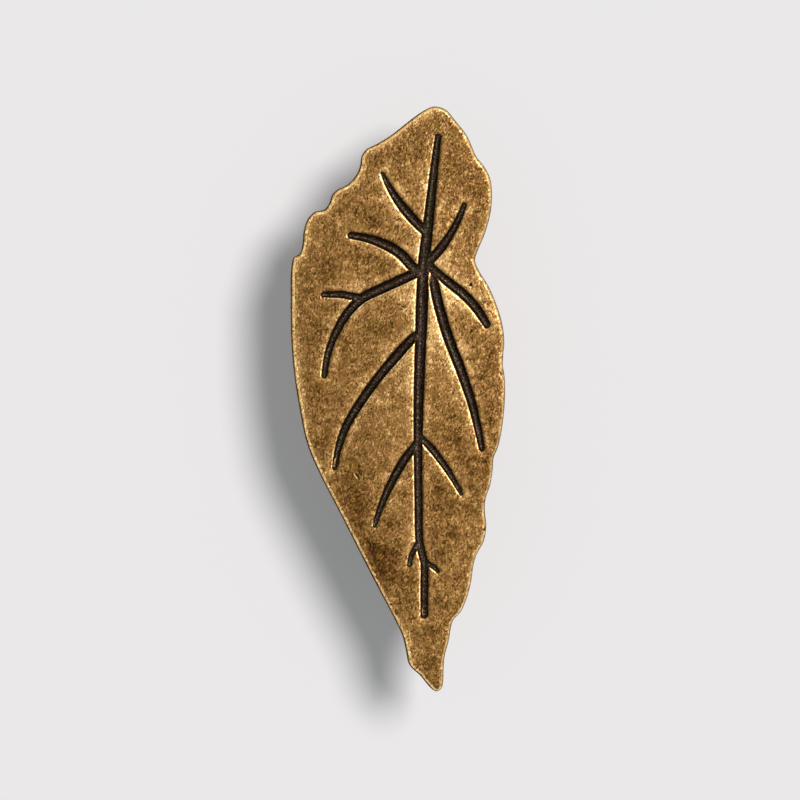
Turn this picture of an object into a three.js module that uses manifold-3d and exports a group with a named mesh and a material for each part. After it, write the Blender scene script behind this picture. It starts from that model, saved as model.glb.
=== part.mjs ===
// Leaf shaped cabinet pull, one casting of antiqued brass.
// A crowned leaf with a notched edge and carved veins stands off the door on two round posts.
// Each post has a blind tapped hole for a machine screw that comes through the door.
// Sizes are in millimetres. The pull hangs tip down: X runs across it, +Z is up, the door's
// face is the plane Y = 0, and the origin lies on that face midway between the two screws.

import * as THREE from "three";
import { mergeVertices } from "three/addons/utils/BufferGeometryUtils.js";
import Module from "manifold-3d";

// Leaf
const leafLength = 120;
const leafWidth = 44;
const rimThickness = 3.1;
const crownRise = 0.5;
const crownReach = 1.1;
const frontRimRadius = 0.6;
const backRimRadius = 0.4;
const wallDraftAngle = 4;

// Veins, cut as channels with a rounded bottom
const midribWidth = 2.6;
const midribDepth = 1.2;
const veinWidth = 2.2;
const veinDepth = 1.1;
const twigWidth = 1.6;
const twigDepth = 0.8;

// Posts and their screw holes
const screwSpacing = 64;
const standoff = 20;
const postFootDiameter = 9;
const postRootDiameter = 10;
const postRootFillet = 2.2;
const postFootChamfer = 0.4;
const tapDrillDiameter = 3.3;
const tapDrillDepth = 11;
const drillPointAngle = 118;
const holeMouthDiameter = 4.8;

// Where the middle of the screw line lies behind the leaf, in per cent across and up the leaf
const screwMiddle = [54.7, 54.1];

// Where the crown is highest, given in the same way
const crownMiddle = [50, 50];

// How finely curves are divided
const edgeStepsPerPoint = 2;
const rimSteps = 3;
const veinStepsPerPoint = 2;
const veinSides = 10;
const postSides = 36;
const filletSteps = 4;

// The leaf's edge, in per cent across (from its left) and up (from its tip).
// The right side runs down from the stem end, past the waist and the small nicks, to the tip.
const rightEdge = [
  [66.7, 100], [72.1, 99.5], [77.2, 97.4], [82.1, 95.1], [84.7, 93], [86.5, 91.5], [90.5, 89.6],
  [93.1, 87.6], [93.9, 84.8], [93.1, 81.6], [90.5, 78.2], [87.3, 75.4], [86, 73.7], [87.7, 72],
  [92.1, 69.4], [95.6, 66.5], [98.4, 63.3], [99.6, 59.9], [99.1, 57.4], [99, 55.7], [99.8, 53.8],
  [100, 51.1], [99.4, 47.5], [98, 43.8], [96.3, 41.4], [94.7, 40.1], [94.2, 37.9], [93, 35.2],
  [91, 33.1], [90.5, 31.3], [91.2, 28.2], [90, 25.7], [86.7, 23.4], [85.3, 21.7], [84.1, 18.7],
  [81.8, 15.6], [79.2, 13.6], [75.8, 12.2], [74.7, 10.8], [73.7, 8.6], [71.9, 6.2], [71.3, 3.6],
  [71.2, 1.9], [70.4, 0.6],
];

// The tip, and the left side from there up to the stem end, past three notches
const leftEdge = [
  [68.1, 0], [65.6, 0.5], [60.2, 2.8], [55.3, 4.6], [53.6, 7.2], [52.1, 9.5], [49.1, 11.9],
  [37, 20.4], [24, 29.8], [12.8, 37.8], [7.4, 42.7], [4, 48.7], [1.6, 54.3], [0.3, 60.1],
  [0, 66.9], [0.2, 72], [1.3, 74.1], [4.3, 74.9], [5.5, 76.5], [6.1, 78.7], [8, 80.8],
  [11.4, 82], [15.8, 82.4], [18, 83.5], [19.3, 84.9], [21.9, 85.8], [26.3, 86.6], [30.2, 88.1],
  [32.2, 89.7], [33, 91.5], [35.1, 92.6], [40.7, 93.7], [47.2, 95.2], [56.5, 97.9], [62.1, 99.3],
];

// Each vein is a list of points: per cent across, per cent up, share of the vein's full width
const midrib = [
  [68.7, 94.7, 0.53], [67.2, 90.3, 0.64], [65.5, 84.5, 0.76], [63.7, 78.5, 0.88],
  [62, 72.9, 0.97], [61.3, 66.9, 1], [60.6, 60.1, 0.93], [59.9, 53.3, 0.86],
  [59.5, 46.5, 0.78], [59.4, 39.6, 0.7], [59.6, 32.8, 0.68], [60, 25.8, 0.65],
  [61, 23.9, 0.65], [62.3, 22, 0.65], [62.3, 18, 0.65], [62.3, 13.2, 0.63],
];
const sideVeins = {
  upperLeft: [[63.5, 78.2, 0.8], [56.9, 80.7, 0.95], [50.8, 83.4, 0.84], [46.2, 86, 0.64],
    [42.7, 88.5, 0.36]],
  left: [[62.1, 71.4, 0.8], [57.2, 72.4, 0.95], [51.3, 74.7, 1], [44.1, 76.3, 0.98],
    [35.7, 77.4, 0.82], [28.1, 77.9, 0.68]],
  lowerLeft: [[62.1, 72.4, 0.85], [58.8, 71.6, 0.95], [52, 70.4, 1], [41.3, 68.6, 0.98],
    [33.6, 67.2, 0.96], [27, 64.8, 0.9], [21.3, 61.4, 0.76], [17.3, 57.4, 0.67],
    [15.8, 54, 0.58]],
  upperRight: [[62.1, 72.5, 0.85], [64.6, 73.5, 0.92], [69.8, 75.6, 0.9], [75.1, 78.5, 0.74],
    [79.1, 81.4, 0.6], [80.9, 83.1, 0.52]],
  right: [[63, 73.4, 0.75], [66.4, 72.2, 0.8], [72.8, 70.1, 0.9], [80, 68, 0.94],
    [86.2, 65.6, 0.9], [91.4, 62.7, 0.74]],
  longRight: [[63.6, 72.7, 0.8], [66, 70.8, 0.88], [68.1, 67.4, 1], [69.8, 64.9, 1],
    [73.7, 60.2, 1], [79.1, 55.1, 0.98], [84.4, 49.2, 0.84], [87.1, 45.1, 0.72],
    [89.1, 41.6, 0.62]],
  longLeft: [[60.7, 61.3, 0.8], [57.5, 60.5, 0.85], [51.2, 58.1, 0.98], [41.9, 54.1, 0.92],
    [33.3, 49.8, 0.88], [25.8, 45.2, 0.8], [22.1, 41.2, 0.66], [20.7, 38.3, 0.54]],
  lowLeft: [[60.2, 43.6, 0.68], [58.2, 42.2, 0.75], [53.5, 39.9, 0.84], [48.6, 36.9, 0.82],
    [43.9, 33.3, 0.68], [40.5, 30, 0.56], [39.1, 28.4, 0.42]],
};
const twigs = {
  lowerLeftTwig: [[34.2, 67.3, 1], [30, 67.4, 1], [24.4, 67.8, 1], [19.3, 67.8, 0.9],
    [15.3, 67.8, 0.72]],
  lowRight: [[59.5, 44, 0.8], [61.8, 43, 0.88], [66, 41.4, 1], [72.3, 38.3, 0.88],
    [76.7, 35.7, 0.72], [79.5, 33.8, 0.54]],
  tipLeft: [[60, 25.7, 0.8], [58, 24.6, 0.76], [56.3, 23.3, 0.72], [55.3, 21.7, 0.64]],
  tipRight: [[62.3, 22.6, 0.6], [64.2, 21.9, 0.64], [66.5, 21.4, 0.66], [68.6, 20.7, 0.62]],
};

const wasm = await Module();
wasm.setup();

// A place on the leaf given in per cent, in millimetres from the middle of the screw line
function onLeaf([across, up]) {
  const x = (across - screwMiddle[0]) / 100 * leafWidth;
  const y = (up - screwMiddle[1]) / 100 * leafLength;
  return new THREE.Vector2(x, y);
}

// Height of the leaf's face above the door: the rim plus a crown that is highest mid-leaf
const leafMiddle = onLeaf(crownMiddle);
function faceHeight(x, y) {
  const across = (x - leafMiddle.x) / (leafWidth / 2 * crownReach);
  const along = (y - leafMiddle.y) / (leafLength / 2 * crownReach);
  return standoff + rimThickness + crownRise * (1 - across * across - along * along);
}

// Points along a smooth curve through the given places, with the direction at each
function sampleCurve(places, stepsPerPoint, closed) {
  const curve = new THREE.CatmullRomCurve3(places, closed, "centripetal");
  const steps = (closed ? places.length : places.length - 1) * stepsPerPoint;
  const samples = [];
  for (let i = 0; i < (closed ? steps : steps + 1); i += 1) {
    samples.push({ point: curve.getPoint(i / steps), heading: curve.getTangent(i / steps) });
  }
  return samples;
}

// A closed body from rings of equal length, each given counter-clockwise seen from above,
// stacked upwards, with its two ends closed by flat-cut triangles
function bodyFromRings(rings) {
  const count = rings[0].length;
  const positions = rings.flat().flatMap((p) => [p.x, p.y, p.z]);
  const triangles = [];
  for (let r = 0; r < rings.length - 1; r += 1) {
    for (let i = 0; i < count; i += 1) {
      const a = r * count + i;
      const b = r * count + (i + 1) % count;
      triangles.push(a, b, b + count, a, b + count, a + count);
    }
  }
  const flat = (ring) => ring.map((p) => new THREE.Vector2(p.x, p.y));
  const lastStart = (rings.length - 1) * count;
  for (const [a, b, c] of THREE.ShapeUtils.triangulateShape(flat(rings[0]), [])) {
    triangles.push(a, c, b);
  }
  for (const [a, b, c] of THREE.ShapeUtils.triangulateShape(flat(rings.at(-1)), [])) {
    triangles.push(lastStart + a, lastStart + b, lastStart + c);
  }
  return closedGeometry(positions, triangles);
}

function closedGeometry(positions, triangles) {
  const geometry = new THREE.BufferGeometry();
  geometry.setAttribute("position", new THREE.Float32BufferAttribute(positions, 3));
  geometry.setIndex(triangles);
  return geometry;
}

function toSolid(geometry) {
  geometry.deleteAttribute("normal");
  geometry.deleteAttribute("uv");
  const merged = mergeVertices(geometry, 1e-5);
  const vertProperties = new Float32Array(merged.attributes.position.array);
  const triVerts = new Uint32Array(merged.index.array);
  return new wasm.Manifold(new wasm.Mesh({ numProp: 3, vertProperties, triVerts }));
}

function toGeometry(solid) {
  const mesh = solid.getMesh();
  return closedGeometry(Array.from(mesh.vertProperties), Array.from(mesh.triVerts));
}

// The leaf's edge as points with the direction into the leaf, counter-clockwise from the front,
// and the room there: how far in the rim can reach before a tight outward turn would close up
const turnShare = 0.8;
function leafEdge() {
  const places = [...rightEdge, ...leftEdge].reverse().map(onLeaf);
  const samples = sampleCurve(places.map((p) => new THREE.Vector3(p.x, p.y, 0)),
    edgeStepsPerPoint, true);
  const turnRadius = (from, to) => {
    const turn = Math.asin(from.heading.x * to.heading.y - from.heading.y * to.heading.x);
    return turn > 0 ? from.point.distanceTo(to.point) / turn : Infinity;
  };
  return samples.map((sample, i) => {
    const before = samples.at(i - 1);
    const after = samples[(i + 1) % samples.length];
    return {
      place: sample.point,
      inward: new THREE.Vector3(-sample.heading.y, sample.heading.x, 0).normalize(),
      room: turnShare * Math.min(turnRadius(before, sample), turnRadius(sample, after)),
    };
  });
}

// The place on the midrib level with a given height up the leaf, or the midrib's nearer end
const midribLine = midrib.map(onLeaf);
function midribPlace(y) {
  const line = midribLine;
  const last = line.length - 1;
  if (y >= line[0].y) return line[0];
  if (y <= line[last].y) return line[last];
  const below = line.findIndex((p) => p.y < y);
  const share = (y - line[below].y) / (line[below - 1].y - line[below].y);
  return line[below].clone().lerp(line[below - 1], share);
}

// The leaf without its veins: a flat back, a drafted side wall, a rounded rim, a crowned face
function leafBlank() {
  const edge = leafEdge();
  const wallLean = Math.tan(THREE.MathUtils.degToRad(wallDraftAngle)) * rimThickness;
  const ringAt = (inset, heightOf) => edge.map(({ place, inward, room }) => {
    const fit = Math.min(1, room / (wallLean + frontRimRadius));
    const p = place.clone().addScaledVector(inward, inset * fit);
    p.z = heightOf(p.x, p.y);
    return p;
  });
  const rings = [
    ringAt(backRimRadius, () => standoff),
    ringAt(0, () => standoff + backRimRadius),
  ];
  for (let i = 0; i <= rimSteps; i += 1) {
    const angle = i / rimSteps * Math.PI / 2;
    const inset = wallLean + frontRimRadius * (1 - Math.cos(angle));
    const drop = frontRimRadius * (1 - Math.sin(angle));
    rings.push(ringAt(inset, (x, y) => faceHeight(x, y) - drop));
  }
  const rimTop = rings.at(-1);
  for (const share of [0.33, 0.67, 0.955]) {
    rings.push(rimTop.map((p) => {
      const x = THREE.MathUtils.lerp(p.x, midribPlace(p.y).x, share);
      const y = THREE.MathUtils.lerp(p.y, midribPlace(p.y).y, share);
      return new THREE.Vector3(x, y, faceHeight(x, y));
    }));
  }
  return toSolid(bodyFromRings(rings));
}

// The body that cuts one vein: an oval bead sunk along the face, with rounded ends
function veinCutter(path, fullWidth, fullDepth) {
  const places = path.map((step) => {
    const p = onLeaf(step);
    return new THREE.Vector3(p.x, p.y, step[2]);
  });
  const samples = sampleCurve(places, veinStepsPerPoint, false);
  const sections = samples.map(({ point, heading }) => ({
    x: point.x,
    y: point.y,
    along: new THREE.Vector2(heading.x, heading.y).normalize(),
    share: point.z,
    size: 1,
  }));
  const endAngles = [75, 40].map(THREE.MathUtils.degToRad);
  const cap = (end, way) => endAngles.map((angle) => {
    const reach = way * end.share * fullWidth / 2 * Math.sin(angle);
    return {
      ...end,
      x: end.x + end.along.x * reach,
      y: end.y + end.along.y * reach,
      size: Math.cos(angle),
    };
  });
  const all = [...cap(sections[0], -1), ...sections, ...cap(sections.at(-1), 1).reverse()];
  return toSolid(beadGeometry(all, fullWidth, fullDepth));
}

// Oval rings across the path, closed at both ends by a fan
const beadLift = 0.25;
function beadGeometry(sections, fullWidth, fullDepth) {
  const positions = [];
  const triangles = [];
  for (const { x, y, along, share, size } of sections) {
    const halfWidth = fullWidth / 2 * share * size;
    const halfHeight = fullDepth * share * size * (1 + beadLift);
    const centre = faceHeight(x, y) + fullDepth * share * beadLift;
    for (let i = 0; i < veinSides; i += 1) {
      const angle = i / veinSides * 2 * Math.PI;
      const side = halfWidth * Math.cos(angle);
      positions.push(x + along.y * side, y - along.x * side,
        centre + halfHeight * Math.sin(angle));
    }
  }
  const ringStart = (r) => r * veinSides;
  for (let r = 0; r < sections.length - 1; r += 1) {
    for (let i = 0; i < veinSides; i += 1) {
      const a = ringStart(r) + i;
      const b = ringStart(r) + (i + 1) % veinSides;
      triangles.push(a, b + veinSides, b, a, a + veinSides, b + veinSides);
    }
  }
  const lastStart = ringStart(sections.length - 1);
  for (let i = 1; i < veinSides - 1; i += 1) {
    triangles.push(0, i, i + 1, lastStart, lastStart + i + 1, lastStart + i);
  }
  return closedGeometry(positions, triangles);
}

function allVeins() {
  const cutters = [veinCutter(midrib, midribWidth, midribDepth)];
  for (const path of Object.values(sideVeins)) {
    cutters.push(veinCutter(path, veinWidth, veinDepth));
  }
  for (const path of Object.values(twigs)) {
    cutters.push(veinCutter(path, twigWidth, twigDepth));
  }
  return cutters.reduce((joined, cutter) => joined.add(cutter));
}

// A body turned about the post's axis, from a profile of [radius, height above the door]
function turned(profile, y) {
  const points = profile.map(([radius, height]) => new THREE.Vector2(radius, height));
  const geometry = new THREE.LatheGeometry(points, postSides);
  geometry.rotateX(Math.PI / 2);
  geometry.translate(0, y, 0);
  return toSolid(geometry);
}

// A post: a chamfered foot on the door, a slight taper, and a fillet into the leaf's back
const rootSunk = 1;
function post(y) {
  const foot = postFootDiameter / 2;
  const root = postRootDiameter / 2;
  const profile = [[0, 0], [foot - postFootChamfer, 0], [foot, postFootChamfer]];
  for (let i = 0; i <= filletSteps; i += 1) {
    const angle = i / filletSteps * Math.PI / 2;
    profile.push([
      root + postRootFillet * (1 - Math.cos(angle)),
      standoff - postRootFillet * (1 - Math.sin(angle)),
    ]);
  }
  profile.push([root + postRootFillet, standoff + rootSunk], [0, standoff + rootSunk]);
  return turned(profile, y);
}

// The screw hole in a post: a countersunk mouth, a tap drill's bore and its pointed end
const mouthOverrun = 1;
function screwHole(y) {
  const mouth = holeMouthDiameter / 2;
  const bore = tapDrillDiameter / 2;
  const point = bore / Math.tan(THREE.MathUtils.degToRad(drillPointAngle / 2));
  return turned([
    [0, -mouthOverrun],
    [mouth + mouthOverrun, -mouthOverrun],
    [bore, mouth - bore],
    [bore, tapDrillDepth],
    [0, tapDrillDepth + point],
  ], y);
}

function leafPull() {
  let solid = leafBlank().subtract(allVeins());
  for (const y of [screwSpacing / 2, -screwSpacing / 2]) {
    solid = solid.add(post(y)).subtract(screwHole(y));
  }
  const antiqueBrass = new THREE.MeshStandardMaterial({
    color: 0x8a6a42,
    roughness: 0.45,
    metalness: 0.9,
  });
  const mesh = new THREE.Mesh(toGeometry(solid), antiqueBrass);
  mesh.name = "leaf_pull";
  return mesh;
}

// The leaf is drawn lying face up, then stood against the door
const pull = new THREE.Group();
pull.add(leafPull());
pull.rotation.x = Math.PI / 2;

export default pull;
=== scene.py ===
# %% [markdown]
# # A leaf shaped cabinet pull in antiqued brass
# The real pull is one casting: a crowned leaf with carved veins on two round posts. It is
# cleaned after casting, darkened all over, and then rubbed back, so that brass shines on the
# rim and beside the veins while the dark finish stays in every hollow.
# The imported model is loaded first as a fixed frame, and everything below is fitted to it.

# %% Load the frame
import math
import bpy
import numpy as np
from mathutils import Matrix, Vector, noise


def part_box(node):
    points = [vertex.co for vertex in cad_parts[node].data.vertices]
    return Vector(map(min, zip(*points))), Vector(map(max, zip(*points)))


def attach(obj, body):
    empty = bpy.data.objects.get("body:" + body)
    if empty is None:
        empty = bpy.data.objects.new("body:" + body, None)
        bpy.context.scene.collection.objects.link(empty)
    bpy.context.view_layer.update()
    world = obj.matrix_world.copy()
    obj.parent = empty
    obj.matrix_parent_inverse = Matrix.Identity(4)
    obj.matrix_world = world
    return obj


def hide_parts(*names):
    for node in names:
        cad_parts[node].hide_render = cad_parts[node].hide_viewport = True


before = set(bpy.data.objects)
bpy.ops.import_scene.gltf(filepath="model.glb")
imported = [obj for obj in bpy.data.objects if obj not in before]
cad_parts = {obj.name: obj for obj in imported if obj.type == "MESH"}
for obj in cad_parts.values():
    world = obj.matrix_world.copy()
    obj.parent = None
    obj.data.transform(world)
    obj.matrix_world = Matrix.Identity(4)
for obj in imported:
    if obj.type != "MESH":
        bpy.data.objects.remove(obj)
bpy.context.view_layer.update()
leaf_low, leaf_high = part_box("leaf_pull")
leaf_width = leaf_high.x - leaf_low.x
leaf_length = leaf_high.z - leaf_low.z
mm = 0.001
print(len(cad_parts), f"piece, {leaf_width / mm:.1f} by {leaf_length / mm:.1f} mm")

# %% [markdown]
# ## Sizes of the casting
# Blender works in metres here, so each size is written in millimetres times mm. The door's
# face is the plane y = 0 and the leaf faces -Y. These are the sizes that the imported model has,
# and the fine surface that is made here follows them. Points closer than touching are one.

# %% Sizes
standoff = 20 * mm
rim_thickness = 3.1 * mm
crown_rise = 0.5 * mm
crown_reach = 1.1
front_rim_radius = 0.6 * mm
back_rim_radius = 0.4 * mm
wall_lean = 0.2 * mm
screw_spacing = 64 * mm
post_heights = (screw_spacing / 2, -screw_spacing / 2)
touching = 0.001 * mm
face_y = -(standoff + rim_thickness)
leaf_middle_x = leaf_low.x + leaf_width / 2
leaf_middle_z = leaf_low.z + leaf_length / 2
print(f"flat face at y = {face_y / mm:.1f} mm, crown {crown_rise / mm:.1f} mm higher mid-leaf")

# %% [markdown]
# ## The drawing
# A caster starts from a drawing of the leaf. Its edge and its veins are given by a few points
# each, in per cent across the leaf from its left and up it from its tip, so they stay true if
# the leaf's size changes. A vein's points carry a third number, the share of its full width.

# %% The leaf's edge, clockwise from the stem end
edge_points = [
    (66.7, 100), (72.1, 99.5), (77.2, 97.4), (82.1, 95.1), (84.7, 93), (86.5, 91.5),
    (90.5, 89.6), (93.1, 87.6), (93.9, 84.8), (93.1, 81.6), (90.5, 78.2), (87.3, 75.4),
    (86, 73.7), (87.7, 72), (92.1, 69.4), (95.6, 66.5), (98.4, 63.3), (99.6, 59.9),
    (99.1, 57.4), (99, 55.7), (99.8, 53.8), (100, 51.1), (99.4, 47.5), (98, 43.8),
    (96.3, 41.4), (94.7, 40.1), (94.2, 37.9), (93, 35.2), (91, 33.1), (90.5, 31.3),
    (91.2, 28.2), (90, 25.7), (86.7, 23.4), (85.3, 21.7), (84.1, 18.7), (81.8, 15.6),
    (79.2, 13.6), (75.8, 12.2), (74.7, 10.8), (73.7, 8.6), (71.9, 6.2), (71.3, 3.6),
    (71.2, 1.9), (70.4, 0.6), (68.1, 0), (65.6, 0.5), (60.2, 2.8), (55.3, 4.6), (53.6, 7.2),
    (52.1, 9.5), (49.1, 11.9), (37, 20.4), (24, 29.8), (12.8, 37.8), (7.4, 42.7), (4, 48.7),
    (1.6, 54.3), (0.3, 60.1), (0, 66.9), (0.2, 72), (1.3, 74.1), (4.3, 74.9), (5.5, 76.5),
    (6.1, 78.7), (8, 80.8), (11.4, 82), (15.8, 82.4), (18, 83.5), (19.3, 84.9), (21.9, 85.8),
    (26.3, 86.6), (30.2, 88.1), (32.2, 89.7), (33, 91.5), (35.1, 92.6), (40.7, 93.7),
    (47.2, 95.2), (56.5, 97.9), (62.1, 99.3),
]
print(len(edge_points), "points draw the edge")

# %% The veins, from the midrib outwards: (full width, depth, points)
midrib_size = (2.6 * mm, 1.2 * mm)
vein_size = (2.2 * mm, 1.1 * mm)
twig_size = (1.6 * mm, 0.8 * mm)
veins = {
    "midrib": (midrib_size, [
        (68.7, 94.7, 0.53), (67.2, 90.3, 0.64), (65.5, 84.5, 0.76), (63.7, 78.5, 0.88),
        (62, 72.9, 0.97), (61.3, 66.9, 1), (60.6, 60.1, 0.93), (59.9, 53.3, 0.86),
        (59.5, 46.5, 0.78), (59.4, 39.6, 0.7), (59.6, 32.8, 0.68), (60, 25.8, 0.65),
        (61, 23.9, 0.65), (62.3, 22, 0.65), (62.3, 18, 0.65), (62.3, 13.2, 0.63)]),
    "upper_left": (vein_size, [
        (63.5, 78.2, 0.8), (56.9, 80.7, 0.95), (50.8, 83.4, 0.84), (46.2, 86, 0.64),
        (42.7, 88.5, 0.36)]),
    "left": (vein_size, [
        (62.1, 71.4, 0.8), (57.2, 72.4, 0.95), (51.3, 74.7, 1), (44.1, 76.3, 0.98),
        (35.7, 77.4, 0.82), (28.1, 77.9, 0.68)]),
    "lower_left": (vein_size, [
        (62.1, 72.4, 0.85), (58.8, 71.6, 0.95), (52, 70.4, 1), (41.3, 68.6, 0.98),
        (33.6, 67.2, 0.96), (27, 64.8, 0.9), (21.3, 61.4, 0.76), (17.3, 57.4, 0.67),
        (15.8, 54, 0.58)]),
    "upper_right": (vein_size, [
        (62.1, 72.5, 0.85), (64.6, 73.5, 0.92), (69.8, 75.6, 0.9), (75.1, 78.5, 0.74),
        (79.1, 81.4, 0.6), (80.9, 83.1, 0.52)]),
    "right": (vein_size, [
        (63, 73.4, 0.75), (66.4, 72.2, 0.8), (72.8, 70.1, 0.9), (80, 68, 0.94),
        (86.2, 65.6, 0.9), (91.4, 62.7, 0.74)]),
    "long_right": (vein_size, [
        (63.6, 72.7, 0.8), (66, 70.8, 0.88), (68.1, 67.4, 1), (69.8, 64.9, 1),
        (73.7, 60.2, 1), (79.1, 55.1, 0.98), (84.4, 49.2, 0.84), (87.1, 45.1, 0.72),
        (89.1, 41.6, 0.62)]),
    "long_left": (vein_size, [
        (60.7, 61.3, 0.8), (57.5, 60.5, 0.85), (51.2, 58.1, 0.98), (41.9, 54.1, 0.92),
        (33.3, 49.8, 0.88), (25.8, 45.2, 0.8), (22.1, 41.2, 0.66), (20.7, 38.3, 0.54)]),
    "low_left": (vein_size, [
        (60.2, 43.6, 0.68), (58.2, 42.2, 0.75), (53.5, 39.9, 0.84), (48.6, 36.9, 0.82),
        (43.9, 33.3, 0.68), (40.5, 30, 0.56), (39.1, 28.4, 0.42)]),
    "lower_left_twig": (twig_size, [
        (34.2, 67.3, 1), (30, 67.4, 1), (24.4, 67.8, 1), (19.3, 67.8, 0.9),
        (15.3, 67.8, 0.72)]),
    "low_right": (twig_size, [
        (59.5, 44, 0.8), (61.8, 43, 0.88), (66, 41.4, 1), (72.3, 38.3, 0.88),
        (76.7, 35.7, 0.72), (79.5, 33.8, 0.54)]),
    "tip_left": (twig_size, [
        (60, 25.7, 0.8), (58, 24.6, 0.76), (56.3, 23.3, 0.72), (55.3, 21.7, 0.64)]),
    "tip_right": (twig_size, [
        (62.3, 22.6, 0.6), (64.2, 21.9, 0.64), (66.5, 21.4, 0.66), (68.6, 20.7, 0.62)]),
}
print(len(veins), "veins")

# %% [markdown]
# ## Smooth lines through a few points
# A draughtsman would lay a flexible ruler through the points. The same thing in code is a
# Catmull-Rom line. The centripetal kind is used, because it makes no loops where points lie
# close together, as they do at the notches.

# %% The flexible ruler
def on_leaf(point):
    across, up = point[0] / 100, point[1] / 100
    return leaf_low.x + across * leaf_width, leaf_low.z + up * leaf_length


def smooth_line(points, steps, closed=False):
    places = np.array(points, float)
    if closed:
        padded = np.vstack([places[-1:], places, places[:2]])
    else:
        padded = np.vstack([2 * places[0] - places[1], places, 2 * places[-1] - places[-2]])
    line = []
    for a, b, c, d in zip(padded, padded[1:], padded[2:], padded[3:]):
        gaps = [math.sqrt(np.linalg.norm(q - p)) for p, q in ((a, b), (b, c), (c, d))]
        t0, t1, t2, t3 = 0, gaps[0], gaps[0] + gaps[1], sum(gaps)
        for t in np.linspace(t1, t2, steps, endpoint=False):
            ab = (t1 - t) / (t1 - t0) * a + (t - t0) / (t1 - t0) * b
            bc = (t2 - t) / (t2 - t1) * b + (t - t1) / (t2 - t1) * c
            cd = (t3 - t) / (t3 - t2) * c + (t - t2) / (t3 - t2) * d
            abc = (t2 - t) / (t2 - t0) * ab + (t - t0) / (t2 - t0) * bc
            bcd = (t3 - t) / (t3 - t1) * bc + (t - t1) / (t3 - t1) * cd
            line.append((t2 - t) / (t2 - t1) * abc + (t - t1) / (t2 - t1) * bcd)
    if not closed:
        line.append(places[-1])
    return np.array(line)


edge_line = smooth_line([on_leaf(p) for p in edge_points], 10, closed=True)
print(len(edge_line), "points along the smooth edge")

# %% [markdown]
# ## Small helpers
# Blender's operators act on whatever is selected, so each step starts by clearing the
# selection and picking one object. A drawn line is a curve object whose points are set in
# code; given a thickness it becomes a round bar that can swell and taper.

# %% Helpers for picking, drawing and finishing
def pick(piece):
    bpy.ops.object.select_all(action="DESELECT")
    piece.select_set(True)
    bpy.context.view_layer.objects.active = piece


def draw_line(name, places, radii=None, closed=False):
    bpy.ops.object.select_all(action="DESELECT")
    bpy.ops.curve.primitive_bezier_curve_add(location=(0, 0, 0))
    drawn = bpy.context.object
    drawn.name = name
    drawn.data.splines.clear()
    spline = drawn.data.splines.new("POLY")
    spline.points.add(len(places) - 1)
    for i, place in enumerate(places):
        spline.points[i].co = (*place, 1)
        spline.points[i].radius = 1 if radii is None else radii[i]
    spline.use_cyclic_u = closed
    return drawn


def to_mesh(piece):
    pick(piece)
    bpy.ops.object.convert(target="MESH")
    return bpy.context.object


def apply_modifier(piece, kind, **settings):
    pick(piece)
    modifier = piece.modifiers.new(kind.lower(), kind)
    for key, value in settings.items():
        setattr(modifier, key, value)
    bpy.ops.object.modifier_apply(modifier=modifier.name)


def combine(piece, other, operation):
    apply_modifier(piece, "BOOLEAN", operation=operation, solver="MANIFOLD", object=other)
    bpy.data.objects.remove(other)


def clean_up(piece):
    pick(piece)
    bpy.ops.object.mode_set(mode="EDIT")
    bpy.ops.mesh.select_all(action="SELECT")
    bpy.ops.mesh.remove_doubles(threshold=touching)
    bpy.ops.mesh.normals_make_consistent(inside=False)
    bpy.ops.object.mode_set(mode="OBJECT")


def move_up(piece, height):
    pick(piece)
    piece.location.z = height
    bpy.ops.object.transform_apply(location=True)


def describe(piece):
    mesh = piece.data
    mesh.calc_loop_triangles()
    size = [round(s / mm, 2) for s in piece.dimensions]
    print(f"{piece.name}: {len(mesh.loop_triangles)} triangles, {size} mm")


# %% [markdown]
# ## The blank
# The leaf without veins is a flat plate with a leaning side wall and a rounded rim. It could be
# an extruded curve with a bevel, but that rounds front and back alike. Here the outline is
# filled with one face and pushed forwards. Then the face is inset in small steps that follow a
# quarter circle, which rounds the front rim by its own radius, and the same is done behind.

# %% Press the plate
def round_over(radius, steps=5):
    for i in range(1, steps + 1):
        before = (i - 1) / steps * math.pi / 2
        after = i / steps * math.pi / 2
        bpy.ops.mesh.inset(
            thickness=radius * (math.cos(before) - math.cos(after)),
            depth=radius * (math.sin(after) - math.sin(before)),
            use_even_offset=True,
        )


square_on = 0.99


def select_facing(piece, direction):
    bpy.ops.mesh.select_all(action="DESELECT")
    bpy.ops.object.mode_set(mode="OBJECT")
    for face in piece.data.polygons:
        face.select = face.normal.y * direction > square_on
    bpy.ops.object.mode_set(mode="EDIT")
    bpy.ops.mesh.select_mode(type="FACE")


wide_y = -(standoff + back_rim_radius)
blank = to_mesh(draw_line("leaf", [(x, wide_y, z) for x, z in edge_line], closed=True))
bpy.ops.object.mode_set(mode="EDIT")
bpy.ops.mesh.select_all(action="SELECT")
bpy.ops.mesh.remove_doubles(threshold=touching)
bpy.ops.mesh.edge_face_add()
wall_height = rim_thickness - front_rim_radius - back_rim_radius
sliver = 0.02 * mm
bpy.ops.mesh.extrude_region_move(TRANSFORM_OT_translate={"value": (0, -sliver, 0)})
bpy.ops.mesh.select_all(action="SELECT")
bpy.ops.mesh.normals_make_consistent(inside=False)
select_facing(blank, -1)
bpy.ops.mesh.inset(thickness=wall_lean, depth=wall_height - sliver, use_even_offset=True)
round_over(front_rim_radius)
select_facing(blank, 1)
round_over(back_rim_radius)
bpy.ops.object.mode_set(mode="OBJECT")
describe(blank)

# %% [markdown]
# ## Cutting the veins
# Each vein is a channel with a round bottom. A round bar that swells and tapers along the vein
# is laid on the face, deepened to an oval, and taken away from the plate. Its axis lies in front
# of the face by the share bead_lift of the depth. Its ends are rounded by a few more points
# whose radius follows a quarter circle.

# %% Bars that cut the veins
bead_lift = 0.25
end_angles = [math.radians(a) for a in (20, 40, 58, 72, 82)]


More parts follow.
